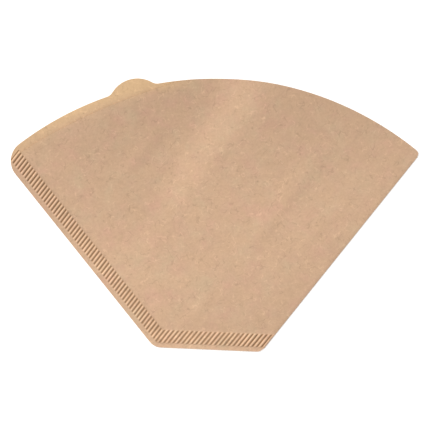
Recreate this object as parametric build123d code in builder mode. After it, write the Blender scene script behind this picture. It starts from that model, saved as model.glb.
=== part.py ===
"""Wedge coffee filter of unbleached paper, lying flat as it comes out of its box.

One sheet is folded in two along the right side.  The two plies are crimped together along the
left side and along the short base, and stay open at the curved mouth, where the upper ply
stands a little off the lower one.  The lower ply carries a thumb tab.

All sizes are in millimetres.  The two sloping sides, drawn on, meet in a point below the base:
the sizes are measured from that point, and the middle line between the sides runs along +Y.
"""
import os
from math import asin, ceil, cos, radians, sin, sqrt

from build123d import *

os.makedirs("parts", exist_ok=True)

# Paper
paper_thickness = 0.18
doubled = 2 * paper_thickness

# Outline of the wedge
side_angle = radians(38.7)          # each side from the middle line
base_height = 26.55                 # point of the wedge to the base, on the middle line
base_tilt = radians(2.5)            # the base runs down towards the fold
mouth_radius = 128.0
mouth_centre = Vector(1.65, 5.9)
mouth_seam_corner = 8.4             # corner radii, named by the two edges that meet
seam_base_corner = 5.8
base_fold_corner = 3.4
fold_mouth_corner = 1.7

# Thumb tab on the lower ply
tab_turn = radians(14.55)           # left of the middle line, seen from the mouth's centre
tab_radius = 11.6
tab_height = 4.0
tab_foot_radius = 4.0

# Mouth edge of the upper ply: it falls short of the lower ply's edge left of the middle
lip_start_turn = radians(4.0)
lip_drop_at_seam = 2.2
front_edge_radius = 242.0

# Gap between the plies
mouth_gap = 3.6
base_gap = 0.05

# Crimped seams
seam_margin = 1.8                   # plain paper outside the ribs
rib_length_across = 5.1             # width of the ribbed band
rib_pitch = 1.467
rib_height = 0.25
rib_lift = 0.04                     # lowest rib underside above the flat paper's underside
rib_heading = radians(52.0)         # the ribs run nearly along the fold
rib_end_margin = 0.8                # flat paper left at both ends of the band
pressed_margin = 0.5                # the plies still touch this far inside the ribs

# Working sizes
beyond = 2.0                        # how far cutting shapes reach past the paper
seam_depth = seam_margin + rib_length_across
pocket_inset = seam_depth + pressed_margin
up = Vector(0, 0, 1)


def side_seam(inset):
    """Line along the seam side, moved into the paper: its inward normal and distance."""
    return Vector(cos(side_angle), sin(side_angle)), inset


def fold(inset):
    """Line along the folded side, moved into the paper."""
    return Vector(-cos(side_angle), sin(side_angle)), inset


def base_seam(inset):
    """Line along the base, moved into the paper."""
    return Vector(sin(base_tilt), cos(base_tilt)), base_height * cos(base_tilt) + inset


def meet(line, other):
    """Point where two such lines cross."""
    (normal, distance), (other_normal, other_distance) = line, other
    spread = normal.X * other_normal.Y - normal.Y * other_normal.X
    return Vector(
        (distance * other_normal.Y - other_distance * normal.Y) / spread,
        (other_distance * normal.X - distance * other_normal.X) / spread,
    )


def heading(turn):
    """Direction at an angle right of the middle line."""
    return Vector(sin(turn), cos(turn))


def mouth_point(turn):
    """Point of the mouth's arc in a direction from the wedge's point."""
    ray = heading(turn)
    middle = ray.dot(mouth_centre)
    return ray * (middle + sqrt(middle**2 - mouth_centre.dot(mouth_centre) + mouth_radius**2))


def upright(point, along):
    """Vertical plane through a point, its x axis level and its y axis up."""
    return Plane(origin=point, x_dir=along, z_dir=along.cross(up))


# Outline of the lower ply.  The fold side reaches a little past the fold itself, so the
# rounded fold is left whole.
fold_side = fold(-paper_thickness)
mouth_at_seam = mouth_point(-side_angle)
mouth_at_fold = mouth_point(side_angle)
seam_at_base = meet(side_seam(0), base_seam(0))
base_at_fold = meet(base_seam(0), fold_side)
tab_centre = mouth_centre + heading(-tab_turn) * (mouth_radius + tab_height - tab_radius)
tab_foot_turn = asin(tab_radius / mouth_radius)
tab_feet = [
    mouth_centre + heading(-tab_turn + side * tab_foot_turn) * mouth_radius for side in (-1, 1)
]

with BuildSketch() as outline:
    with BuildLine():
        Polyline(mouth_at_seam, seam_at_base, base_at_fold, mouth_at_fold)
        ThreePointArc(mouth_at_fold, mouth_point(0), mouth_at_seam)
    make_face()
    for corner, radius in (
        (mouth_at_seam, mouth_seam_corner),
        (seam_at_base, seam_base_corner),
        (base_at_fold, base_fold_corner),
        (mouth_at_fold, fold_mouth_corner),
    ):
        fillet(outline.vertices().sort_by_distance(corner)[0], radius=radius)
    with Locations(tab_centre):
        Circle(tab_radius)
    for foot in tab_feet:
        fillet(outline.vertices().sort_by_distance(foot)[0], radius=tab_foot_radius)

# The strip where the lower ply shows past the upper one
lip_right = mouth_point(-lip_start_turn)
lip_left = heading(-side_angle) * (mouth_at_seam.length - lip_drop_at_seam)

with BuildSketch() as lip_region:
    with BuildLine():
        front_edge = RadiusArc(lip_left, lip_right, front_edge_radius)
        left_run_out = front_edge % 0
        right_run_out = front_edge % 1
        Polyline(
            lip_left,
            lip_left - left_run_out * mouth_seam_corner,
            lip_left - left_run_out * mouth_seam_corner + Vector(0, mouth_radius),
            lip_right + right_run_out * mouth_seam_corner + Vector(0, mouth_radius),
            lip_right + right_run_out * mouth_seam_corner,
            lip_right,
        )
    make_face()

# The ribbed band along both seams
rib_way = Vector(cos(rib_heading), sin(rib_heading))
rib_across = Vector(-sin(rib_heading), cos(rib_heading))
band_top = lip_left - heading(-side_angle) * rib_end_margin
band_top_line = (rib_across, rib_across.dot(band_top))
band_end = fold(rib_end_margin)

with BuildSketch() as ribbed_band:
    with BuildLine():
        Polyline(
            meet(side_seam(seam_margin), band_top_line),
            meet(side_seam(seam_margin), base_seam(seam_margin)),
            meet(base_seam(seam_margin), band_end),
            meet(base_seam(seam_depth), band_end),
            meet(side_seam(seam_depth), base_seam(seam_depth)),
            meet(side_seam(seam_depth), band_top_line),
            close=True,
        )
    make_face()
    fillet(
        ribbed_band.vertices().sort_by_distance(seam_at_base)[0],
        radius=seam_base_corner - seam_margin,
    )


def pocket_section(distance, gap, floor, wall_foot):
    """Section across the pocket, level with the base: a low arch from the seam to the fold.

    distance: from the wedge's base, into the paper
    gap: height of the arch in the middle
    floor: height of the arch's two feet
    wall_foot: height the section reaches down to under its feet
    """
    left = meet(side_seam(pocket_inset), base_seam(distance))
    right = meet(fold(paper_thickness), base_seam(distance))
    width = (right - left).length
    with BuildSketch(upright(left, (right - left).normalized())) as section:
        with BuildLine():
            ThreePointArc((0, floor), (width / 2, floor + gap), (width, floor))
            if wall_foot < floor:
                Polyline((0, floor), (0, wall_foot), (width, wall_foot), (width, floor))
            else:
                Line((0, floor), (width, floor))
        make_face()
    return section.sketch


pocket_end = mouth_radius + mouth_centre.Y - base_height + beyond

with BuildPart() as pocket_outside:
    add(pocket_section(pocket_inset, base_gap, doubled, paper_thickness))
    add(pocket_section(pocket_end, mouth_gap, doubled, paper_thickness))
    loft(ruled=True)

with BuildPart() as pocket:
    add(pocket_section(pocket_inset, base_gap, paper_thickness, paper_thickness))
    add(pocket_section(pocket_end, mouth_gap, paper_thickness, paper_thickness))
    loft(ruled=True)

# Crimp: one wavy slab, both plies thick, cut to the shape of the band
corners = [vertex.center() for vertex in ribbed_band.vertices()]
wave_from = min(rib_across.dot(corner) for corner in corners)
wave_to = max(rib_across.dot(corner) for corner in corners)
rib_from = min(rib_way.dot(corner) for corner in corners) - beyond
rib_to = max(rib_way.dot(corner) for corner in corners) + beyond
rib_count = ceil((wave_to - wave_from) / rib_pitch) + 1
half_pitch = rib_pitch / 2
swing = rib_height / 2


def wave(middle):
    """Row of rounded ribs, half of each above and half below the middle height."""
    for half in range(2 * rib_count):
        start = half * half_pitch
        crest = middle + swing if half % 2 else middle - swing
        ThreePointArc(
            (start, middle), (start + half_pitch / 2, crest), (start + half_pitch, middle)
        )


wave_low = rib_lift + swing
wave_high = wave_low + doubled
wave_end = 2 * rib_count * half_pitch
wave_start = rib_way * rib_from + rib_across * (wave_from - half_pitch)

with BuildPart() as crimp:
    with BuildSketch(upright(wave_start, rib_across)):
        with BuildLine():
            wave(wave_low)
            wave(wave_high)
            Line((0, wave_low), (0, wave_high))
            Line((wave_end, wave_low), (wave_end, wave_high))
        make_face()
    extrude(amount=rib_to - rib_from)
    extrude(ribbed_band.sketch, amount=doubled + beyond, mode=Mode.INTERSECT)

# The folded sheet, its two plies one on the other, round at the fold
sheet_width = 2 * mouth_radius * sin(side_angle) + beyond
fold_way = heading(side_angle)

with BuildPart() as sheet:
    with BuildSketch(upright(Vector(0, 0), fold(0)[0])):
        with BuildLine():
            ThreePointArc((paper_thickness, 0), (0, paper_thickness), (paper_thickness, doubled))
            Polyline(
                (paper_thickness, 0),
                (sheet_width, 0),
                (sheet_width, doubled),
                (paper_thickness, doubled),
            )
        make_face()
    extrude(amount=mouth_radius + mouth_centre.length + beyond, both=True)
    add(pocket_outside.part)
    extrude(outline.sketch, amount=doubled + mouth_gap + beyond, mode=Mode.INTERSECT)
    add(pocket.part, mode=Mode.SUBTRACT)
    with Locations((0, 0, paper_thickness)):
        add(
            extrude(lip_region.sketch, amount=doubled + mouth_gap + beyond, mode=Mode.PRIVATE),
            mode=Mode.SUBTRACT,
        )
    extrude(ribbed_band.sketch, amount=doubled, mode=Mode.SUBTRACT)
    add(crimp.part)

# The finished filter stands on the middle of the rectangle it covers
footprint = sheet.part.bounding_box()

with BuildPart() as filter_paper:
    with Locations((-footprint.center().X, -footprint.center().Y, -footprint.min.Z)):
        add(sheet.part)

filter_paper.part.label = "filter_paper"
export_step(filter_paper.part, "parts/filter_paper.step")
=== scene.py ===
"""Paper coffee filter, lying flat and folded: the sheet, its finish, the table, light and camera.

Each ply is drawn as a flat outline, ruled into small faces, given its relief, and joined to the
other ply round the fold; then the sheet gets its thickness.  Lengths are in metres.
"""

import logging
import math
from dataclasses import dataclass
from enum import Enum
from functools import cached_property

import bmesh
import bpy
from bmesh.types import BMesh, BMFace, BMVert
from bpy.types import ID, Material, Mesh, Node, NodeSocket, Object
from mathutils import Matrix, Vector, noise


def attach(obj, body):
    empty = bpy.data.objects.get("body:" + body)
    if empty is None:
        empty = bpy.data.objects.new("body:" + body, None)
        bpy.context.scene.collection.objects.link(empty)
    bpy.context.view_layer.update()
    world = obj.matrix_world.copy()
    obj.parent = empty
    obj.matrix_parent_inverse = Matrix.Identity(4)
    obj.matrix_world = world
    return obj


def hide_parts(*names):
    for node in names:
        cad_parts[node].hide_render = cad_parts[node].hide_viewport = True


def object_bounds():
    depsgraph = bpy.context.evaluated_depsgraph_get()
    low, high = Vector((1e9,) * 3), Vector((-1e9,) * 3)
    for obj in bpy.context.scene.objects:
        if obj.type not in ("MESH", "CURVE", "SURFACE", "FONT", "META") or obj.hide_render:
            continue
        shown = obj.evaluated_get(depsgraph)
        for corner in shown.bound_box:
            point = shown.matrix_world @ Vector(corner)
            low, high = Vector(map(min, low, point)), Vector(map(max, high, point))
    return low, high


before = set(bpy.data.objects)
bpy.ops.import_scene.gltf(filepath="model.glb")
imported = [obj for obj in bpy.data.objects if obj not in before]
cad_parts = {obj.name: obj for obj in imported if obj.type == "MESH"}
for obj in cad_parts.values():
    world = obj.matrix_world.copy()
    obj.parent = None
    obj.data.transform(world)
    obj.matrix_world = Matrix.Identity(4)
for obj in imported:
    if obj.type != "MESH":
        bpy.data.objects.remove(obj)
cad_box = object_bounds()

log = logging.getLogger("coffee_filter")

MM = 0.001
UP = Vector((0.0, 0.0, 1.0))
NODE = "filter_paper"
BODY = "root"
TONE_AND_SHADE = "tone"
LIT_THROUGH = "lit_through"
GROOVE_SHADE = "groove"
SEED_STEPS = (1.0, 0.7, 0.3)
NOISE_ROUGHNESS = 0.6
WHITE = (1.0, 1.0, 1.0, 1.0)

Colour = tuple[float, float, float, float]


def smooth_step(value: float) -> float:
    """Ease from 0 to 1, flat at both ends."""
    value = min(max(value, 0.0), 1.0)
    return value * value * (3.0 - 2.0 * value)


def heading(turn: float) -> Vector:
    """Level direction at an angle right of the middle line."""
    return Vector((math.sin(turn), math.cos(turn), 0.0))


def add_object(name: str, data: ID) -> Object:
    """Put an object at the scene's origin.

    Args:
        name: name of the object.
        data: its mesh, light or camera.

    Returns:
        The object.
    """
    made = bpy.data.objects.new(name, data)
    bpy.context.scene.collection.objects.link(made)
    return made


@dataclass(frozen=True)
class Fade:
    """A soft change from 0 to 1 over a width from a start; a width below 0 runs downwards."""

    start: float
    width: float

    def at(self, value: float) -> float:
        """How far the change has gone at a value."""
        return smooth_step((value - self.start) / self.width)


@dataclass(frozen=True)
class Pattern:
    """One layer of the paper's look.

    Scale is in lumps a metre, detail counts the finer layers, and the seed shifts the pattern.
    Weight says how strongly it tones the paper, and relief how far it stands up.
    """

    scale: float
    detail: float
    seed: float
    weight: float = 0.0
    relief: float = 0.0


@dataclass(frozen=True)
class Gaps:
    """Where scattered marks are left out, by a noise set against their own pattern."""

    times: float
    shift: float
    low: float
    high: float


@dataclass(frozen=True)
class Line:
    """A straight line on the table: unit normal, and distance from the wedge's point."""

    normal: Vector
    distance: float

    def depth(self, point: Vector) -> float:
        """Distance of a point in front of the line."""
        return self.normal.x * point.x + self.normal.y * point.y - self.distance

    def moved(self, inset: float) -> "Line":
        """The same line, moved along its normal."""
        return Line(self.normal, self.distance + inset)

    def meet(self, other: "Line") -> Vector:
        """Point where two lines cross.

        Args:
            other: the line that crosses this one.

        Returns:
            The crossing point.
        """
        spread = self.normal.x * other.normal.y - self.normal.y * other.normal.x
        across = self.distance * other.normal.y - other.distance * self.normal.y
        along = other.distance * self.normal.x - self.distance * other.normal.x
        return Vector((across / spread, along / spread, 0.0))


@dataclass(frozen=True)
class Round:
    """A circle on the table that part of an outline follows."""

    centre: Vector
    radius: float

    def grown(self, amount: float) -> "Round":
        """The same circle with a larger radius."""
        return Round(self.centre, self.radius + amount)

    def at(self, direction: Vector) -> Vector:
        """Point of the circle in a direction from its centre."""
        return self.centre + direction.normalized() * self.radius

    def towards(self, other: "Round") -> Vector:
        """Point of the circle in the direction of another circle's centre."""
        return self.at(other.centre - self.centre)

    def meet_line(self, line: Line) -> Vector:
        """Crossing of the circle and a line that lies further up the wedge.

        Args:
            line: the line.

        Returns:
            The crossing point.
        """
        offset = line.depth(self.centre)
        foot = self.centre - line.normal * offset
        half = math.sqrt(self.radius**2 - offset**2)
        along = UP.cross(line.normal) * half
        return max((foot + along, foot - along), key=lambda point: point.y)

    def meet(self, other: "Round", near: Vector) -> Vector:
        """Crossing of two circles.

        Args:
            other: the second circle.
            near: picks the crossing nearest to this point.

        Returns:
            The crossing point.
        """
        between = other.centre - self.centre
        reach = between.length
        along = (reach**2 + self.radius**2 - other.radius**2) / (2.0 * reach)
        half = math.sqrt(max(self.radius**2 - along**2, 0.0))
        middle = self.centre + between * (along / reach)
        side = UP.cross(between.normalized()) * half
        return min((middle + side, middle - side), key=lambda point: (point - near).length)


class OutlineWalk:
    """An outline drawn edge by edge, as a cutter goes round it."""

    def __init__(self, start: Vector, chord: float) -> None:
        """Begin an outline.

        Args:
            start: first point.
            chord: longest edge on a round stretch.
        """
        self.bm: BMesh = bmesh.new()
        self.first: BMVert = self.bm.verts.new(start)
        self.tip: BMVert = self.first
        self.chord = chord

    def straight(self, end: Vector) -> None:
        """Draw a straight edge to a point."""
        self.tip = bmesh.ops.extrude_vert_indiv(self.bm, verts=[self.tip])["verts"][0]
        self.tip.co = end

    def arc(self, circle: Round, end: Vector, hollow: bool = False) -> None:
        """Follow a circle to a point.

        Args:
            circle: the circle that the outline lies on.
            end: where the arc ends.
            hollow: the arc bends into the paper instead of round it.
        """
        start_arm = self.tip.co - circle.centre
        end_arm = end - circle.centre
        turn = math.atan2(start_arm.cross(end_arm).z, start_arm.dot(end_arm))
        if hollow and turn > 0.0:
            turn -= math.tau
        elif not hollow and turn < 0.0:
            turn += math.tau
        steps = max(2, math.ceil(abs(turn) * circle.radius / self.chord))
        made = bmesh.ops.spin(
            self.bm, geom=[self.tip], cent=circle.centre, axis=UP, angle=turn, steps=steps
        )
        self.tip = next(item for item in made["geom_last"] if isinstance(item, BMVert))

    def fill(self) -> BMesh:
        """Close the outline and fill it with one flat face.

        Returns:
            The mesh that holds the face.
        """
        self.bm.edges.new((self.tip, self.first))
        bmesh.ops.contextual_create(self.bm, geom=self.bm.edges[:])
        if self.bm.faces[:][0].normal.z < 0.0:
            bmesh.ops.reverse_faces(self.bm, faces=self.bm.faces[:])
        return self.bm


@dataclass(frozen=True)
class Wedge:
    """Sizes of the folded outline, measured from the point where its two sides would meet."""

    side_angle: float = math.radians(38.7)
    base_height: float = 26.55 * MM
    base_tilt: float = math.radians(2.5)
    mouth_radius: float = 128.0 * MM
    mouth_aside: float = 1.65 * MM
    mouth_up: float = 5.9 * MM
    mouth_seam_corner: float = 8.4 * MM
    seam_base_corner: float = 5.8 * MM
    base_fold_corner: float = 3.4 * MM
    fold_mouth_corner: float = 1.7 * MM
    tab_turn: float = math.radians(14.55)
    tab_radius: float = 11.6 * MM
    tab_height: float = 4.0 * MM
    tab_foot: float = 4.0 * MM
    lip_turn: float = math.radians(4.0)
    lip_drop: float = 2.2 * MM
    front_edge_radius: float = 242.0 * MM

    @cached_property
    def seam(self) -> Line:
        """The crimped side."""
        return Line(Vector((math.cos(self.side_angle), math.sin(self.side_angle), 0.0)), 0.0)

    @cached_property
    def fold(self) -> Line:
        """The folded side."""
        return Line(Vector((-math.cos(self.side_angle), math.sin(self.side_angle), 0.0)), 0.0)

    @cached_property
    def base(self) -> Line:
        """The crimped base."""
        normal = Vector((math.sin(self.base_tilt), math.cos(self.base_tilt), 0.0))
        return Line(normal, self.base_height * math.cos(self.base_tilt))

    @cached_property
    def mouth(self) -> Round:
        """The circle of the open edge."""
        return Round(Vector((self.mouth_aside, self.mouth_up, 0.0)), self.mouth_radius)

    @cached_property
    def fold_way(self) -> Vector:
        """Direction along the fold, towards the mouth."""
        return heading(self.side_angle)

    def behind_mouth(self, point: Vector) -> float:
        """Distance of a point inside the mouth's circle."""
        return self.mouth_radius - (point - self.mouth.centre).length

    def mouth_point(self, turn: float) -> Vector:
        """Point of the mouth in a direction from the wedge's point."""
        return self.mouth.meet_line(Line(UP.cross(heading(turn)), 0.0))

    @cached_property
    def front_edge(self) -> Round:
        """The flatter circle that the upper ply's edge follows left of the middle."""
        right = self.mouth_point(-self.lip_turn)
        left = self.mouth_point(-self.side_angle) - heading(-self.side_angle) * self.lip_drop
        chord = right - left
        rise = math.sqrt(self.front_edge_radius**2 - (chord.length / 2.0) ** 2)
        inward = chord.normalized().cross(UP)
        return Round((left + right) / 2.0 + inward * rise, self.front_edge_radius)


@dataclass(frozen=True)
class Crimp:
    """The ribbed band that holds the two plies together."""

    wedge: Wedge
    margin: float = 1.8 * MM
    base_margin: float = 1.7 * MM
    width: float = 5.4 * MM
    pitch: float = 1.467 * MM
    height: float = 0.34 * MM
    lift: float = 0.04 * MM
    rib_heading: float = math.radians(52.0)
    end_ramp: float = 0.45 * MM
    end_margin: float = 0.4 * MM
    cuts_per_rib: int = 10
    unevenness: float = 0.45
    unevenness_scale: float = 420.0
    first_rib: float = math.radians(-57.0)
    spread_on_base: float = math.radians(5.9) / MM
    shallow: float = 0.90
    deep: float = 1.22
    deep_at_mouth: Fade = Fade(0.0, 80.0 * MM)
    deep_at_fold: Fade = Fade(12.0 * MM, -5.0 * MM)

    @property
    def depth(self) -> float:
        """Inner edge of the band, from the paper's edge."""
        return self.margin + self.width

    @cached_property
    def across(self) -> Vector:
        """Level direction across the ribs."""
        return Vector((-math.sin(self.rib_heading), math.cos(self.rib_heading), 0.0))

    @cached_property
    def top(self) -> Line:
        """Line along the ribs where the band stops, short of the upper ply's edge."""
        edge = self.wedge.front_edge.meet_line(self.wedge.seam.moved(self.margin))
        return Line(self.across, self.across.dot(edge) - self.end_margin)

    def row_depths(self, margin: float) -> list[float]:
        """Depths at which the band is ruled lengthwise.

        Args:
            margin: plain paper outside the ribs.

        Returns:
            Distances from the paper's edge, outer row first.
        """
        ramp, depth = self.end_ramp, self.depth
        outer = [margin, margin + ramp / 2.0, margin + ramp]
        return [*outer, (margin + depth) / 2.0, depth - ramp, depth - ramp / 2.0, depth]

    def inside(self, point: Vector) -> float:
        """How far a point lies inside the band's long edges, below 0 outside them."""
        side, bottom = self.wedge.seam.depth(point), self.wedge.base.depth(point)
        return min(side - self.margin, bottom - self.base_margin, self.depth - min(side, bottom))

    def strength(self, point: Vector) -> float:
        """How fully the crimp is pressed at a point.

        Args:
            point: place on the paper.

        Returns:
            0 outside the band, 1 inside it, with a short ramp at each rib's end.
        """
        into = self.inside(point)
        ends = min(self.wedge.fold.depth(point) - self.end_margin, -self.top.depth(point))
        return smooth_step(into / self.end_ramp) * smooth_step(ends / self.end_ramp + 0.5)

    def bite(self, point: Vector) -> float:
        """How deep the crimp bites, from 0 to 1: most at the mouth and at the fold's end."""
        towards_mouth = self.deep_at_mouth.at(self.wedge.base.depth(point))
        return max(towards_mouth, self.deep_at_fold.at(self.wedge.fold.depth(point)))

    def wave(self, point: Vector) -> float:
        """Height of the ribs above their own foot.

        Args:
            point: place on the paper.

        Returns:
            Height of the wave, from 0 in a groove to about the rib height on a crest.
        """
        phase = math.tau * self.across.dot(point) / self.pitch + self.first_rib
        phase += self.spread_on_base * max(self.wedge.seam.depth(point) - self.depth, 0.0)
        uneven = 1.0 + self.unevenness * noise.noise(point * self.unevenness_scale)
        depth = self.shallow + (self.deep - self.shallow) * self.bite(point)
        return self.height * uneven * depth * (0.5 + 0.5 * math.sin(phase))


@dataclass(frozen=True)
class Crease:
    """A soft ridge in the upper ply along the fold's direction, steeper on its fold side."""

    from_fold: float
    along: float
    half_length: float
    half_width: float
    height: float
    steepness: float = 1.0
    run_out: Fade = Fade(1.4, -0.8)

    def rise(self, from_fold: float, along: float) -> float:
        """Height of the ridge at a place.

        Args:
            from_fold: distance of the place from the fold.
            along: distance along the fold, from the wedge's point.

        Returns:
            Height added to the ply.
        """
        across = (from_fold - self.from_fold) / self.half_width
        if across < 0.0:
            across *= self.steepness
        run = abs(along - self.along) / self.half_length
        return self.height * math.exp(-(across**2)) * self.run_out.at(run)


@dataclass(frozen=True)
class Place:
    """Where a point lies, as shares: across to the fold, up to the mouth, and free to lift."""

    share: float
    climb: float
    free: float


@dataclass(frozen=True)
class Pillow:
    """How the upper ply stands off the lower one, and the soft unevenness of both."""

    crimp: Crimp
    mouth_rise: float = 3.2 * MM
    swell: float = 1.6
    crest_at_mouth: float = 0.602
    crest_lean: float = 0.597
    crest_bend: float = 1.5
    lowest_crest: float = 0.25
    flank: float = 0.112
    flank_low: Fade = Fade(0.40, -0.15)
    far_bulge: float = 0.8
    loose: float = 0.22 * MM
    free_of_crimp: Fade = Fade(0.0, 5.0 * MM)
    free_of_fold: Fade = Fade(0.0, 7.0 * MM)
    tab_lift: float = 0.75 * MM
    roll_up: Fade = Fade(28.0 * MM, -24.0 * MM)
    roll_over: Fade = Fade(4.6 * MM, -9.2 * MM)
    roll_drop: float = 0.92
    roll_left: Fade = Fade(0.0, 0.24)
    roll_right: Fade = Fade(0.50, -0.20)
    cockle: float = 0.20 * MM
    cockle_scale: float = 30.0
    ripple: float = 0.05 * MM
    ripple_scale: float = 110.0
    ripple_seed: float = 3.0
    along_stretch: float = 0.5
    creases: tuple[Crease, ...] = (
        Crease(29.2 * MM, 87.0 * MM, 21.0 * MM, 4.4 * MM, 0.32 * MM, 2.0),
        Crease(13.0 * MM, 79.0 * MM, 7.0 * MM, 1.5 * MM, 0.16 * MM),
        Crease(12.5 * MM, 98.0 * MM, 14.0 * MM, 3.2 * MM, 0.16 * MM),
        Crease(30.0 * MM, 28.0 * MM, 9.0 * MM, 1.9 * MM, 0.20 * MM),
        Crease(86.5 * MM, 66.0 * MM, 13.0 * MM, 2.8 * MM, 0.32 * MM),
    )

    def place_of(self, point: Vector) -> Place:
        """Where a point of the paper lies in the pocket.

        Args:
            point: the point.

        Returns:
            Its place.
        """
        wedge = self.crimp.wedge
        from_seam = max(wedge.seam.depth(point) - self.crimp.depth, 0.0)
        from_fold = max(wedge.fold.depth(point), 0.0)
        from_base = max(wedge.base.depth(point) - self.crimp.depth, 0.0)
        share = from_seam / max(from_seam + from_fold, MM)
        full = wedge.mouth_radius + wedge.mouth_up - wedge.base_height - self.crimp.depth
        free = self.free_of_crimp.at(from_seam) * self.free_of_fold.at(from_fold)
        return Place(share, from_base / full, free * self.free_of_crimp.at(from_base))

    def profile(self, place: Place) -> float:
        """Height across the wedge, as a share of the crest.

        Args:
            place: where in the pocket.

        Returns:
            0 at both sides, 1 at the crest.
        """
        lean = self.crest_lean * max(1.0 - place.climb, 0.0) ** self.crest_bend
        crest = max(self.crest_at_mouth - lean, self.lowest_crest)
        if place.share > crest:
            run = (place.share - crest) / (1.0 - crest)
            return 1.0 - smooth_step(run**self.far_bulge)
        foot = max((crest - self.flank) * (1.0 - self.flank_low.at(place.climb)), 0.0)
        return smooth_step((place.share - foot) / (crest - foot))

    def roll(self, point: Vector) -> float:
        """Height of the low roll that both plies make under the tab.

        Args:
            point: place on the paper.

        Returns:
            Height above the table.
        """
        share = self.place_of(point).share
        inward = self.crimp.wedge.behind_mouth(point)
        over = 1.0 - self.roll_drop * self.roll_over.at(inward)
        sides = self.roll_left.at(share) * self.roll_right.at(share)
        return self.tab_lift * self.roll_up.at(inward) * over * sides

    def rise(self, point: Vector) -> float:
        """Height of the upper ply above the lower one.

        Args:
            point: place on the paper.

        Returns:
            The gap between the plies.
        """
        place = self.place_of(point)
        body = self.mouth_rise * place.climb**self.swell * self.profile(place)
        wedge = self.crimp.wedge
        from_fold, along = wedge.fold.depth(point), wedge.fold_way.dot(point)
        marks = sum(crease.rise(from_fold, along) for crease in self.creases)
        # Soft waves that damp leaves, longer along the fold than across it
        probe = Vector((from_fold, along * self.along_stretch, 0.0))
        marks += self.cockle * noise.noise(probe * self.cockle_scale)
        marks += self.ripple * noise.noise(probe * self.ripple_scale + UP * self.ripple_seed)
        return body + (self.loose + marks) * place.free


@dataclass(frozen=True)
class ToneAndPaintedLight:
    """How light the paper is from place to place: mostly painted highlight and shade standing in
    for the light, and painted light through the single ply at the tab.
    """

    crimp: Crimp
    # Painted highlight on the crimp's crests and painted shade in its grooves
    groove_dark: float = 0.205
    crest_light: float = 0.29
    crest_fade: float = 0.04
    # How far the grooves take the painted shade's brown
    groove_weak: float = 0.76
    groove_full: float = 1.15
    groove_fade: float = 1.5
    # Painted shade and light of the open paper, following its slopes under the light
    mouth_dark: float = 0.06
    low_light: float = 0.05
    high: Fade = Fade(0.40, 0.60)
    left_dark: float = 0.074
    left_edge: float = 0.40
    left_lean: float = 0.155
    left_lean_up: Fade = Fade(0.60, 0.40)
    left_fade: float = 0.13
    left_up: Fade = Fade(0.26, 0.22)
    clear: float = 0.55
    clear_fade: float = 0.16
    clear_up: Fade = Fade(0.70, 0.16)
    low_left_light: float = 0.03
    low_left_up: Fade = Fade(0.34, -0.12)
    low_left_across: Fade = Fade(0.55, -0.30)
    foot_dark: float = 0.025
    foot_up: Fade = Fade(0.26, -0.18)
    fold_light: float = 0.03
    fold_across: Fade = Fade(0.86, 0.12)
    fold_up: Fade = Fade(0.34, 0.14)
    base_edge_light: float = 0.10
    base_edge_fade: float = 1.4 * MM
    base_rib_light: float = 0.07
    base_rib_fade: float = 1.0 * MM
    base_rib_loss: float = 0.4
    # Painted light through the single ply at the tab
    tab_reach: float = 5.0 * MM
    tab_reach_left: float = 1.0 * MM
    tab_left: Fade = Fade(0.34, -0.12)
    tab_middle: float = 0.30
    tab_sides: Fade = Fade(0.26, -0.15)
    tab_least: float = 0.70
    lip_end: Fade = Fade(0.47, -0.09)

    def ribs(self, pressed: float, crest: float, bite: float) -> float:
        """Painted highlight on a rib's crest and painted shade in its groove: tone that a crimp
        of some strength adds at some height on a rib.
        """
        light = self.crest_light - self.crest_fade * bite
        return pressed * (light * crest - self.groove_dark * (1.0 - crest))

    def groove(self, pressed: float, crest: float, bite: float) -> float:
        """Painted shade in the grooves, from 0 to 1: how brown the paper is drawn where the crimp
        presses it thin.
        """
        strength = self.groove_weak + (1.0 - self.groove_weak) * bite
        return strength * pressed * smooth_step(self.groove_full - self.groove_fade * crest)

    def base_strip(self, from_edge: float, bite: float) -> float:
        """Tone of the strip along the base, which is a little lighter.

        Args:
            from_edge: distance from the base's edge.
            bite: how deep the crimp bites, from 0 to 1.

        Returns:
            Tone to be added to 1.
        """
        past, depth = from_edge - self.crimp.base_margin, self.crimp.depth
        plain = self.base_edge_light * (1.0 - smooth_step(past / self.base_edge_fade))
        ribbed = self.base_rib_light * smooth_step((depth - from_edge) / self.base_rib_fade)
        loss = self.base_rib_loss * bite * smooth_step(from_edge / depth)
        return max(plain, ribbed * (1.0 - loss))

    def spread(self, place: Place) -> float:
        """Painted shade and light of the open paper, in place of how its slopes are lit: darker
        near the mouth and up the seam side.

        Args:
            place: where in the pocket.

        Returns:
            Tone to be added to 1.
        """
        share, climb = place.share, place.climb
        high = self.high.at(climb)
        edge = self.left_edge + self.left_lean * self.left_lean_up.at(climb)
        left = smooth_step((edge - share) / self.left_fade) * self.left_up.at(climb)
        past = edge - self.clear_fade - share
        left *= 1.0 - self.clear * smooth_step(past / self.clear_fade) * self.clear_up.at(climb)
        low_left = self.low_left_up.at(climb) * self.low_left_across.at(share)
        fold = self.fold_across.at(share) * self.fold_up.at(climb)
        lighter = self.low_light * (1.0 - high) + self.low_left_light * low_left
        darker = self.mouth_dark * high + self.left_dark * left
        return lighter + self.fold_light * fold - darker - self.foot_dark * self.foot_up.at(climb)

    def lit_through(self, share: float, point: Vector) -> float:
        """Painted light through the single ply at the tab: how far the paper takes a lighter,
        warmer colour.

        Args:
            share: 0 at the crimped side, 1 at the fold.
            point: place on the paper.

        Returns:
            0 on the open paper, 1 at the tab's edge.
        """
        inward = self.crimp.wedge.behind_mouth(point)
        near_tab = self.tab_sides.at(abs(share - self.tab_middle))
        sides = self.tab_least + (1.0 - self.tab_least) * near_tab
        reach = self.tab_reach + self.tab_reach_left * self.tab_left.at(share)
        return smooth_step((reach - inward) / reach) * sides * self.lip_end.at(share)


class Ply(Enum):
    """The two halves of the folded sheet."""

    LOWER = "lower"
    UPPER = "upper"


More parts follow.
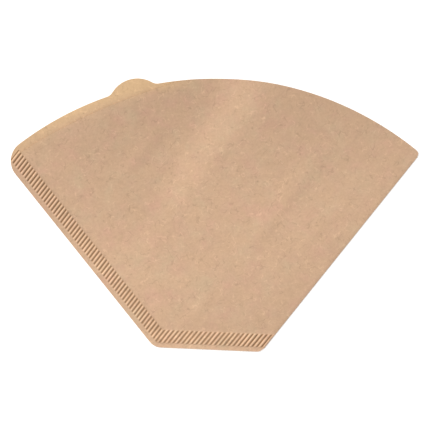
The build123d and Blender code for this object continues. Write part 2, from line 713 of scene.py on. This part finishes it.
@dataclass
class FoldedSheet:
    """The whole filter: one sheet, folded at the right and crimped at the left and the base."""

    crimp: Crimp
    pillow: Pillow
    tone_and_light: ToneAndPaintedLight
    thickness: float = 0.18 * MM
    chord: float = 0.9 * MM
    grid: float = 1.5 * MM
    fold_steps: int = 4
    weld: float = 0.004 * MM
    touch: float = 0.96
    crisp_edge: float = math.radians(50.0)

    @property
    def wedge(self) -> Wedge:
        """The folded outline."""
        return self.crimp.wedge

    def corner_on_mouth(self, side: Line, radius: float) -> Round:
        """Rounded corner between a straight side and the mouth."""
        return Round(self.wedge.mouth.grown(-radius).meet_line(side.moved(radius)), radius)

    def corner_between(self, side: Line, other: Line, radius: float) -> Round:
        """Rounded corner between two straight sides."""
        return Round(side.moved(radius).meet(other.moved(radius)), radius)

    def outline(self, ply: Ply) -> BMesh:
        """Draw one ply's outline and fill it.

        Args:
            ply: which half of the sheet.

        Returns:
            A mesh of one flat face.
        """
        wedge = self.wedge
        seam, base, mouth = wedge.seam, wedge.base, wedge.mouth
        bend = wedge.fold.moved(self.thickness)
        low_right = self.corner_between(base, bend, wedge.base_fold_corner)
        high_right = self.corner_on_mouth(bend, wedge.fold_mouth_corner)
        high_left = self.corner_on_mouth(seam, wedge.mouth_seam_corner)
        low_left = self.corner_between(seam, base, wedge.seam_base_corner)

        walk = OutlineWalk(low_right.at(-bend.normal), self.chord)
        walk.straight(high_right.at(-bend.normal))
        walk.arc(high_right, mouth.towards(high_right))
        if ply is Ply.LOWER:
            self.draw_tab(walk)
            walk.arc(mouth, mouth.towards(high_left))
        else:
            front = wedge.front_edge
            walk.arc(mouth, wedge.mouth_point(-wedge.lip_turn))
            walk.arc(front, front.meet(high_left, near=mouth.towards(high_left)))
        walk.arc(high_left, high_left.at(-seam.normal))
        walk.straight(low_left.at(-seam.normal))
        walk.arc(low_left, low_left.at(-base.normal))
        walk.straight(low_right.at(-base.normal))
        walk.arc(low_right, low_right.at((-base.normal - bend.normal).normalized()))
        return walk.fill()

    def draw_tab(self, walk: OutlineWalk) -> None:
        """Follow the mouth up to the thumb tab, round it and back to the mouth.

        Args:
            walk: the outline, on the mouth's circle right of the tab.
        """
        wedge, mouth = self.wedge, self.wedge.mouth
        to_tab = heading(-wedge.tab_turn)
        reach = wedge.mouth_radius + wedge.tab_height - wedge.tab_radius
        tab = Round(mouth.centre + to_tab * reach, wedge.tab_radius)
        sideways = to_tab.cross(UP) * 2.0 * wedge.tab_radius
        feet = []
        for near in (tab.centre + sideways, tab.centre - sideways):
            centre = mouth.grown(wedge.tab_foot).meet(tab.grown(wedge.tab_foot), near=near)
            feet.append(Round(centre, wedge.tab_foot))
        right, left = feet
        walk.arc(mouth, mouth.towards(right))
        walk.arc(right, tab.towards(right), hollow=True)
        walk.arc(tab, tab.towards(left))
        walk.arc(left, mouth.towards(left), hollow=True)

    def in_band(self, face: BMFace) -> bool:
        """Whether a face lies in the ribbed band."""
        return self.crimp.inside(face.calc_center_median()) > 0.0

    def rule(self, bm: BMesh, faces: list[BMFace], line: Line) -> list[BMFace]:
        """Cut faces along a line, leaving both halves in place.

        Args:
            bm: the mesh.
            faces: the faces to cut.
            line: where to cut.

        Returns:
            The faces after the cut.
        """
        edges = dict.fromkeys(edge for face in faces for edge in face.edges)
        verts = dict.fromkeys(vert for face in faces for vert in face.verts)
        made = bmesh.ops.bisect_plane(
            bm,
            geom=[*faces, *edges, *verts],
            dist=self.weld / 10.0,
            plane_co=line.normal * line.distance,
            plane_no=line.normal,
        )
        return [item for item in made["geom"] if isinstance(item, BMFace)]

    def rule_across(self, bm: BMesh, faces: list[BMFace], way: Vector, step: float) -> None:
        """Rule faces with evenly spaced lines, the middle line first, then each half.

        Args:
            bm: the mesh.
            faces: the faces to rule.
            way: direction across the lines.
            step: distance between the lines.
        """
        if not faces:
            return
        heights = [way.dot(vert.co) for face in faces for vert in face.verts]
        first = math.floor((min(heights) + self.weld) / step) + 1
        last = math.ceil((max(heights) - self.weld) / step) - 1
        if last < first:
            return
        cut = (first + last) // 2 * step
        halves: list[list[BMFace]] = [[], []]
        for face in self.rule(bm, faces, Line(way, cut)):
            halves[way.dot(face.calc_center_median()) >= cut].append(face)
        for half in halves:
            self.rule_across(bm, half, way, step)

    def rule_ply(self, bm: BMesh) -> None:
        """Rule a flat ply into small faces: fine across the ribs, coarser elsewhere.

        Args:
            bm: the flat ply.
        """
        crimp, wedge = self.crimp, self.wedge
        for seam, margin in ((wedge.seam, crimp.margin), (wedge.base, crimp.base_margin)):
            for depth in crimp.row_depths(margin):
                self.rule(bm, bm.faces[:], seam.moved(depth))
        band = [face for face in bm.faces if self.in_band(face)]
        self.rule_across(bm, band, crimp.across, crimp.pitch / crimp.cuts_per_rib)
        for way in (wedge.fold.normal, wedge.fold_way):
            open_faces = [face for face in bm.faces if not self.in_band(face)]
            self.rule_across(bm, open_faces, way, self.grid)

    def relief(self, ply: Ply, point: Vector) -> float:
        """Height of the middle of a ply's thickness.

        Args:
            ply: which half of the sheet.
            point: place on the paper.

        Returns:
            Height above the table.
        """
        pressed = self.crimp.strength(point)
        height = pressed * (self.crimp.lift + self.crimp.wave(point))
        height += self.pillow.roll(point)
        if ply is Ply.LOWER:
            return height + 0.5 * self.thickness
        return height + 1.5 * self.thickness + self.pillow.rise(point)

    def build_ply(self, ply: Ply) -> tuple[BMesh, float]:
        """Draw, rule and emboss one ply.

        Args:
            ply: which half of the sheet.

        Returns:
            The ply's mesh and its flat area.
        """
        bm = self.outline(ply)
        area = sum(face.calc_area() for face in bm.faces)
        self.rule_ply(bm)
        self.shade(bm)
        for vert in bm.verts:
            vert.co.z = self.relief(ply, vert.co)
        return bm, area

    def shade(self, bm: BMesh) -> None:
        """Note the paper's tone at every point of a ply, while it is still flat, with the painted
        highlight and shade it carries.

        Args:
            bm: the flat ply.
        """
        tone = bm.verts.layers.float.new(TONE_AND_SHADE)
        lit_through = bm.verts.layers.float.new(LIT_THROUGH)
        groove = bm.verts.layers.float.new(GROOVE_SHADE)
        for vert in bm.verts:
            place = self.pillow.place_of(vert.co)
            pressed = self.crimp.strength(vert.co)
            crest = min(self.crimp.wave(vert.co) / self.crimp.height, 1.0)
            bite = self.crimp.bite(vert.co)
            # Painted slope shade and light of the open paper, and the lighter strip along the
            # base
            even = self.tone_and_light.spread(place)
            even += self.tone_and_light.base_strip(self.wedge.base.depth(vert.co), bite)
            vert[tone] = 1.0 + even + self.tone_and_light.ribs(pressed, crest, bite)
            vert[groove] = self.tone_and_light.groove(pressed, crest, bite)
            vert[lit_through] = self.tone_and_light.lit_through(place.share, vert.co)

    def flat_size(self, bm: BMesh) -> tuple[float, float]:
        """Width of a ply from the fold, and length along it, before it is joined."""
        along = [self.wedge.fold_way.dot(vert.co) for vert in bm.verts]
        return max(self.wedge.fold.depth(vert.co) for vert in bm.verts), max(along) - min(along)

    def join_at_fold(self, bm: BMesh) -> None:
        """Bend the lower ply's straight edge round to meet the upper ply's.

        Args:
            bm: both plies in one mesh.
        """
        bend = self.wedge.fold.moved(self.thickness)
        low = {
            vert
            for vert in bm.verts
            if abs(bend.depth(vert.co)) < self.weld and vert.co.z < self.thickness
        }
        edges = [edge for edge in bm.edges if edge.is_boundary and low.issuperset(edge.verts)]
        verts = dict.fromkeys(vert for edge in edges for vert in edge.verts)
        bmesh.ops.spin(
            bm,
            geom=[*edges, *verts],
            cent=bend.normal * bend.distance + UP * self.thickness,
            axis=self.wedge.fold_way,
            angle=-math.pi,
            steps=self.fold_steps,
        )
        bmesh.ops.remove_doubles(bm, verts=bm.verts[:], dist=self.weld)

    def place(self, bm: BMesh) -> None:
        """Move the sheet so that its rectangle lies on the CAD model's.

        Args:
            bm: the sheet.
        """
        low, high = (Vector(corner) for corner in cad_box)
        along_axes = list(zip(*(vert.co for vert in bm.verts)))
        shift = (low + high - Vector(map(min, along_axes)) - Vector(map(max, along_axes))) / 2.0
        shift.z = 0.0
        bmesh.ops.translate(bm, verts=bm.verts[:], vec=shift)

    def thicken(self, mesh: Mesh, name: str) -> Object:
        """Give the sheet its thickness, its inner side a finish of its own and crisp cut edges.

        Args:
            mesh: the sheet without thickness.
            name: name of the finished piece.

        Returns:
            The finished piece.
        """
        sheet = add_object(name, mesh)
        wall = sheet.modifiers.new("thickness", "SOLIDIFY")
        wall.thickness = self.thickness * self.touch
        wall.offset = 0.0
        wall.use_even_offset = True
        wall.material_offset = 1
        evaluated = sheet.evaluated_get(bpy.context.evaluated_depsgraph_get())
        solid = bpy.data.meshes.new_from_object(evaluated)
        sheet.modifiers.clear()
        sheet.data = solid
        solid.name = name
        solid.shade_smooth()
        solid.set_sharp_from_angle(angle=self.crisp_edge)
        return sheet

    def build(self, name: str, outer: Material, inner: Material) -> None:
        """Args:
            name: name of the finished piece.
            outer: finish of the paper's outer side.
            inner: finish of the side that faces the pocket.
        """
        lower, lower_area = self.build_ply(Ply.LOWER)
        upper, upper_area = self.build_ply(Ply.UPPER)
        lower_width, lower_length = self.flat_size(lower)
        upper_width, _ = self.flat_size(upper)
        bmesh.ops.reverse_faces(lower, faces=lower.faces[:])
        mesh = bpy.data.meshes.new(name + "_sheet")
        upper.to_mesh(mesh)
        lower.from_mesh(mesh)
        upper.free()
        self.join_at_fold(lower)
        bmesh.ops.recalc_face_normals(lower, faces=lower.faces[:])
        if max(lower.faces, key=lambda face: face.calc_center_median().z).normal.z < 0.0:
            bmesh.ops.reverse_faces(lower, faces=lower.faces[:])
        self.place(lower)
        lower.to_mesh(mesh)
        lower.free()
        mesh.materials.append(outer)
        mesh.materials.append(inner)
        sheet = self.thicken(mesh, name)
        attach(sheet, BODY)
        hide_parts(NODE)
        log.info("%s: %d faces", name, len(sheet.data.polygons))


class Bench:
    """A material while its nodes are being made and joined."""

    def __init__(self, name: str) -> None:
        """Start an empty material.

        Args:
            name: name of the material.
        """
        self.material: Material = bpy.data.materials.new(name)
        self.material.use_nodes = True
        self.material.node_tree.nodes.clear()

    @cached_property
    def place(self) -> NodeSocket:
        """Socket of the place on the object."""
        return self.node("ShaderNodeTexCoord").outputs["Object"]

    def feed(self, target: NodeSocket, value: object) -> None:
        """Give an input socket its value.

        Args:
            target: the input.
            value: a socket to be linked to it, or a constant.
        """
        if isinstance(value, NodeSocket):
            self.material.node_tree.links.new(value, target)
        else:
            target.default_value = value

    def node(self, kind: str, **inputs: object) -> Node:
        """Add a shader node and feed its sockets.

        Args:
            kind: the node's type.
            inputs: what goes into its sockets, named in lower case with underscores.

        Returns:
            The new node.
        """
        node = self.material.node_tree.nodes.new(kind)
        for label, value in inputs.items():
            names = [socket.name.lower().replace(" ", "_") for socket in node.inputs]
            self.feed(node.inputs[names.index(label)], value)
        return node

    def calculate(self, operation: str, *values: NodeSocket | float) -> NodeSocket:
        """Work out a number from others.

        Args:
            operation: name of the sum.
            values: what goes into it, in order.

        Returns:
            Socket of the result.
        """
        node = self.node("ShaderNodeMath")
        node.operation = operation
        for target, value in zip(node.inputs, values):
            self.feed(target, value)
        return node.outputs[0]

    def shifted(self, seed: float) -> NodeSocket:
        """Place on the paper, shifted so that no two patterns repeat."""
        way = [seed * step for step in SEED_STEPS]
        return self.node("ShaderNodeMapping", vector=self.place, location=way).outputs["Vector"]

    def noise(self, pattern: Pattern) -> NodeSocket:
        """Cloudy pattern on the paper, from 0 to 1."""
        clouds = self.node(
            "ShaderNodeTexNoise",
            vector=self.shifted(pattern.seed),
            scale=pattern.scale,
            detail=pattern.detail,
            roughness=NOISE_ROUGHNESS,
        )
        return clouds.outputs[0]

    def ramp(self, source: NodeSocket, low: float, high: float) -> NodeSocket:
        """Stretch a pattern so that its low value becomes 0 and its high value 1."""
        node = self.node("ShaderNodeMapRange", value=source, from_min=low, from_max=high)
        return node.outputs["Result"]

    def scattered(self, marks: NodeSocket, pattern: Pattern, gaps: Gaps) -> NodeSocket:
        """Keep marks in some places only.

        Args:
            marks: 1 on a mark and 0 beside it.
            pattern: the marks' own pattern.
            gaps: where they are left out.

        Returns:
            Socket of the marks that are kept.
        """
        other = Pattern(pattern.scale * gaps.times, 0.0, pattern.seed + gaps.shift)
        kept = self.ramp(self.noise(other), gaps.low, gaps.high)
        return self.calculate("MULTIPLY", marks, kept)

    def weighted(self, start: float, layers: list[tuple[NodeSocket, float]]) -> NodeSocket:
        """Add up patterns, each with its own weight.

        Args:
            start: value that the sum starts from.
            layers: sockets and their weights.

        Returns:
            Socket of the sum.
        """
        total: NodeSocket | float = start
        for socket, weight in layers:
            total = self.calculate("MULTIPLY_ADD", socket, weight, total)
        return total

    def blended(self, under: NodeSocket | Colour, over: Colour, share: NodeSocket) -> NodeSocket:
        """Mix one colour into another by a pattern.

        Args:
            under: the colour underneath.
            over: the colour on top.
            share: how much of the colour on top shows.

        Returns:
            Socket of the mixed colour.
        """
        mix = self.node("ShaderNodeMix")
        mix.data_type = "RGBA"
        self.feed(mix.inputs["Factor"], share)
        colours = [socket for socket in mix.inputs if socket.type == "RGBA"]
        self.feed(colours[0], under)
        self.feed(colours[1], over)
        return next(socket for socket in mix.outputs if socket.type == "RGBA")

    def noted(self, name: str) -> NodeSocket:
        """Read what the sheet notes at each of its points.

        Args:
            name: the note's name.

        Returns:
            Socket of the note.
        """
        reader = self.node("ShaderNodeAttribute")
        reader.attribute_name = name
        return reader.outputs["Fac"]

    def finish(self, **looks: object) -> Material:
        """Give the material its shader.

        Args:
            looks: what goes into the shader's sockets, named as in node().

        Returns:
            The finished material.
        """
        shader = self.node("ShaderNodeBsdfPrincipled", **looks)
        self.node("ShaderNodeOutputMaterial", surface=shader.outputs["BSDF"])
        return self.material


@dataclass(frozen=True)
class PaperFinish:
    """Unbleached filter paper: cloudy, finely fibrous and matt."""

    name: str
    colour: Colour
    pink: Colour
    straw: Colour
    # Painted light through the single ply at the tab
    lit_through_colour: Colour = (0.676, 0.446, 0.248, 1.0)
    # Painted shade in the crimp's grooves
    groove_shade_colour: Colour = (0.335, 0.180, 0.085, 1.0)
    clouds: Pattern = Pattern(110.0, 3.0, 0.11)
    patches: Pattern = Pattern(150.0, 2.0, 0.47)
    tint_low: float = 0.35
    tint_high: float = 0.65
    felting: tuple[Pattern, ...] = (
        Pattern(1150.0, 2.0, 0.29, 0.25, 0.5),
        Pattern(380.0, 2.0, 0.53, 0.17, 0.8),
        Pattern(120.0, 2.0, 0.83, 0.10),
    )
    fibres: tuple[Pattern, ...] = (
        Pattern(300.0, 1.0, 0.17, 0.16, 0.3),
        Pattern(300.0, 1.0, 0.61, -0.16),
    )
    fibre_width: float = 0.03
    fibre_gaps: Gaps = Gaps(1.4, 0.4, 0.52, 0.62)
    flecks: tuple[Pattern, ...] = (
        Pattern(230.0, 0.0, 0.37, 0.20),
        Pattern(230.0, 0.0, 0.73, -0.20),
    )
    fleck_size: float = 0.13
    fleck_core: float = 0.03
    fleck_gaps: Gaps = Gaps(0.5, 0.9, 0.5, 0.6)
    relief: float = 0.07 * MM
    roughness: float = 0.92
    specular: float = 0.15
    sheen: float = 0.12
    sheen_roughness: float = 0.6

    def fibres_at(self, bench: Bench, pattern: Pattern) -> NodeSocket:
        """Short curled fibres lying in all directions.

        Args:
            bench: the material being made.
            pattern: the noise whose middle the fibres follow.

        Returns:
            Socket that is 1 on a fibre and 0 beside it.
        """
        off_middle = bench.calculate("SUBTRACT", bench.noise(pattern), 0.5)
        distance = bench.calculate("ABSOLUTE", off_middle)
        line = bench.ramp(distance, self.fibre_width, 0.0)
        return bench.scattered(line, pattern, self.fibre_gaps)

    def flecks_at(self, bench: Bench, pattern: Pattern) -> NodeSocket:
        """Scattered specks, such as knots of fibre and bits of bark.

        Args:
            bench: the material being made.
            pattern: scale and seed of the specks.

        Returns:
            Socket that is 1 on a speck and 0 beside it.
        """
        place = bench.shifted(pattern.seed)
        cells = bench.node("ShaderNodeTexVoronoi", vector=place, scale=pattern.scale)
        dot = bench.ramp(cells.outputs["Distance"], self.fleck_size, self.fleck_core)
        return bench.scattered(dot, pattern, self.fleck_gaps)

    def tint(self, bench: Bench) -> NodeSocket:
        """Colour of the paper before its tone.

        Args:
            bench: the material being made.

        Returns:
            Socket of the colour, with its patches, the painted light through the tab's single ply
            and the painted shade in the grooves.
        """
        pink = bench.ramp(bench.noise(self.clouds), self.tint_low, self.tint_high)
        straw = bench.ramp(bench.noise(self.patches), self.tint_low, self.tint_high)
        tint = bench.blended(self.colour, self.pink, pink)
        tint = bench.blended(tint, self.straw, straw)
        tint = bench.blended(tint, self.lit_through_colour, bench.noted(LIT_THROUGH))
        return bench.blended(tint, self.groove_shade_colour, bench.noted(GROOVE_SHADE))

    def build(self) -> Material:
        """Make the finish.

        Returns:
            The finished material.
        """
        bench = Bench(self.name)
        layers = [(bench.noise(pattern), pattern) for pattern in self.felting]
        layers += [(self.fibres_at(bench, pattern), pattern) for pattern in self.fibres]
        layers += [(self.flecks_at(bench, pattern), pattern) for pattern in self.flecks]
        middle = 1.0 - 0.5 * sum(pattern.weight for pattern in self.felting)
        texture = bench.weighted(middle, [(socket, layer.weight) for socket, layer in layers])
        shade = bench.node("ShaderNodeVectorMath")
        shade.operation = "SCALE"
        bench.feed(shade.inputs["Vector"], self.tint(bench))
        # The noted tone carries painted highlight and shade
        tone = bench.calculate("MULTIPLY", texture, bench.noted(TONE_AND_SHADE))
        bench.feed(shade.inputs["Scale"], tone)
        raised = [(socket, layer.relief) for socket, layer in layers if layer.relief]
        felt = bench.weighted(0.0, raised)
        bump = bench.node("ShaderNodeBump", strength=1.0, distance=self.relief, height=felt)
        return bench.finish(
            base_color=shade.outputs["Vector"],
            roughness=self.roughness,
            specular_ior_level=self.specular,
            sheen_weight=self.sheen,
            sheen_roughness=self.sheen_roughness,
            normal=bump.outputs["Normal"],
        )


@dataclass(frozen=True)
class Studio:
    """Lit white table, a soft light from the upper left, even fill, and the camera overhead."""

    table_size: float = 30.0
    table_drop: float = 0.02 * MM
    table_white: Colour = (0.93, 0.93, 0.93, 1.0)
    table_glow: float = 0.30
    table_roughness: float = 0.9
    fill: float = 0.60
    key_power: float = 35.0
    key_size: float = 0.8
    key_distance: float = 2.0
    key_turn: float = math.radians(-52.0)
    key_height: float = math.radians(36.0)
    view_width: float = 170.47 * MM
    view_aside: float = 0.2 * MM
    lens: float = 135.0
    sensor: float = 36.0
    farthest: float = 10.0

    def table(self) -> None:
        """Flat white table under the filter."""
        bm = bmesh.new()
        bmesh.ops.create_grid(bm, x_segments=1, y_segments=1, size=self.table_size / 2.0)
        bmesh.ops.translate(bm, verts=bm.verts[:], vec=-UP * self.table_drop)
        mesh = bpy.data.meshes.new("table")
        bm.to_mesh(mesh)
        bm.free()
        white = Bench("table_white").finish(
            base_color=self.table_white,
            roughness=self.table_roughness,
            specular_ior_level=0.0,
            emission_color=WHITE,
            emission_strength=self.table_glow,
        )
        mesh.materials.append(white)
        table = add_object("table", mesh)

    def fill_light(self) -> None:
        """Even white light from all round."""
        world = bpy.data.worlds.new("studio")
        world.use_nodes = True
        background = world.node_tree.nodes["Background"]
        background.inputs["Color"].default_value = WHITE
        background.inputs["Strength"].default_value = self.fill
        bpy.context.scene.world = world

    def key_light(self) -> None:
        """Soft square light from the upper left."""
        lamp = bpy.data.lights.new("key", "AREA")
        lamp.shape = "SQUARE"
        lamp.size = self.key_size
        lamp.energy = self.key_power
        level = heading(self.key_turn) * math.cos(self.key_height)
        place = (level + UP * math.sin(self.key_height)) * self.key_distance
        aim = place.to_track_quat("Z", "Y").to_matrix().to_4x4()
        add_object("key", lamp).matrix_world = Matrix.Translation(place) @ aim

    def camera(self) -> None:
        """Camera straight above, with a long lens."""
        low, high = (Vector(corner) for corner in cad_box)
        middle = (low + high) / 2.0
        data = bpy.data.cameras.new("overhead")
        data.lens = self.lens
        data.sensor_width = self.sensor
        data.clip_end = self.farthest
        height = self.view_width * self.lens / self.sensor
        camera = add_object("overhead", data)
        camera.location = (middle.x + self.view_aside, middle.y, low.z + height)
        bpy.context.scene.camera = camera

    def build(self) -> None:
        """Set the whole studio and plain colour handling."""
        settings = bpy.context.scene.view_settings
        settings.view_transform = "Standard"
        settings.look = "None"
        self.table()
        self.fill_light()
        self.key_light()
        self.camera()
        log.info("studio: table, fill, key light and camera")


def main() -> None:
    """Build the filter and its studio."""
    logging.basicConfig(level=logging.INFO, format="%(name)s: %(message)s")
    Studio().build()
    outer = PaperFinish(
        name="paper_outside",
        colour=(0.562, 0.388, 0.246, 1.0),
        pink=(0.581, 0.356, 0.240, 1.0),
        straw=(0.571, 0.372, 0.235, 1.0),
    )
    inner = PaperFinish(
        name="paper_inside",
        colour=(0.573, 0.387, 0.244, 1.0),
        pink=(0.583, 0.369, 0.240, 1.0),
        straw=(0.578, 0.378, 0.235, 1.0),
    )
    crimp = Crimp(Wedge())
    sheet = FoldedSheet(crimp, Pillow(crimp), ToneAndPaintedLight(crimp))
    sheet.build("folded_filter", outer.build(), inner.build())


if __name__ == "__main__":
    main()
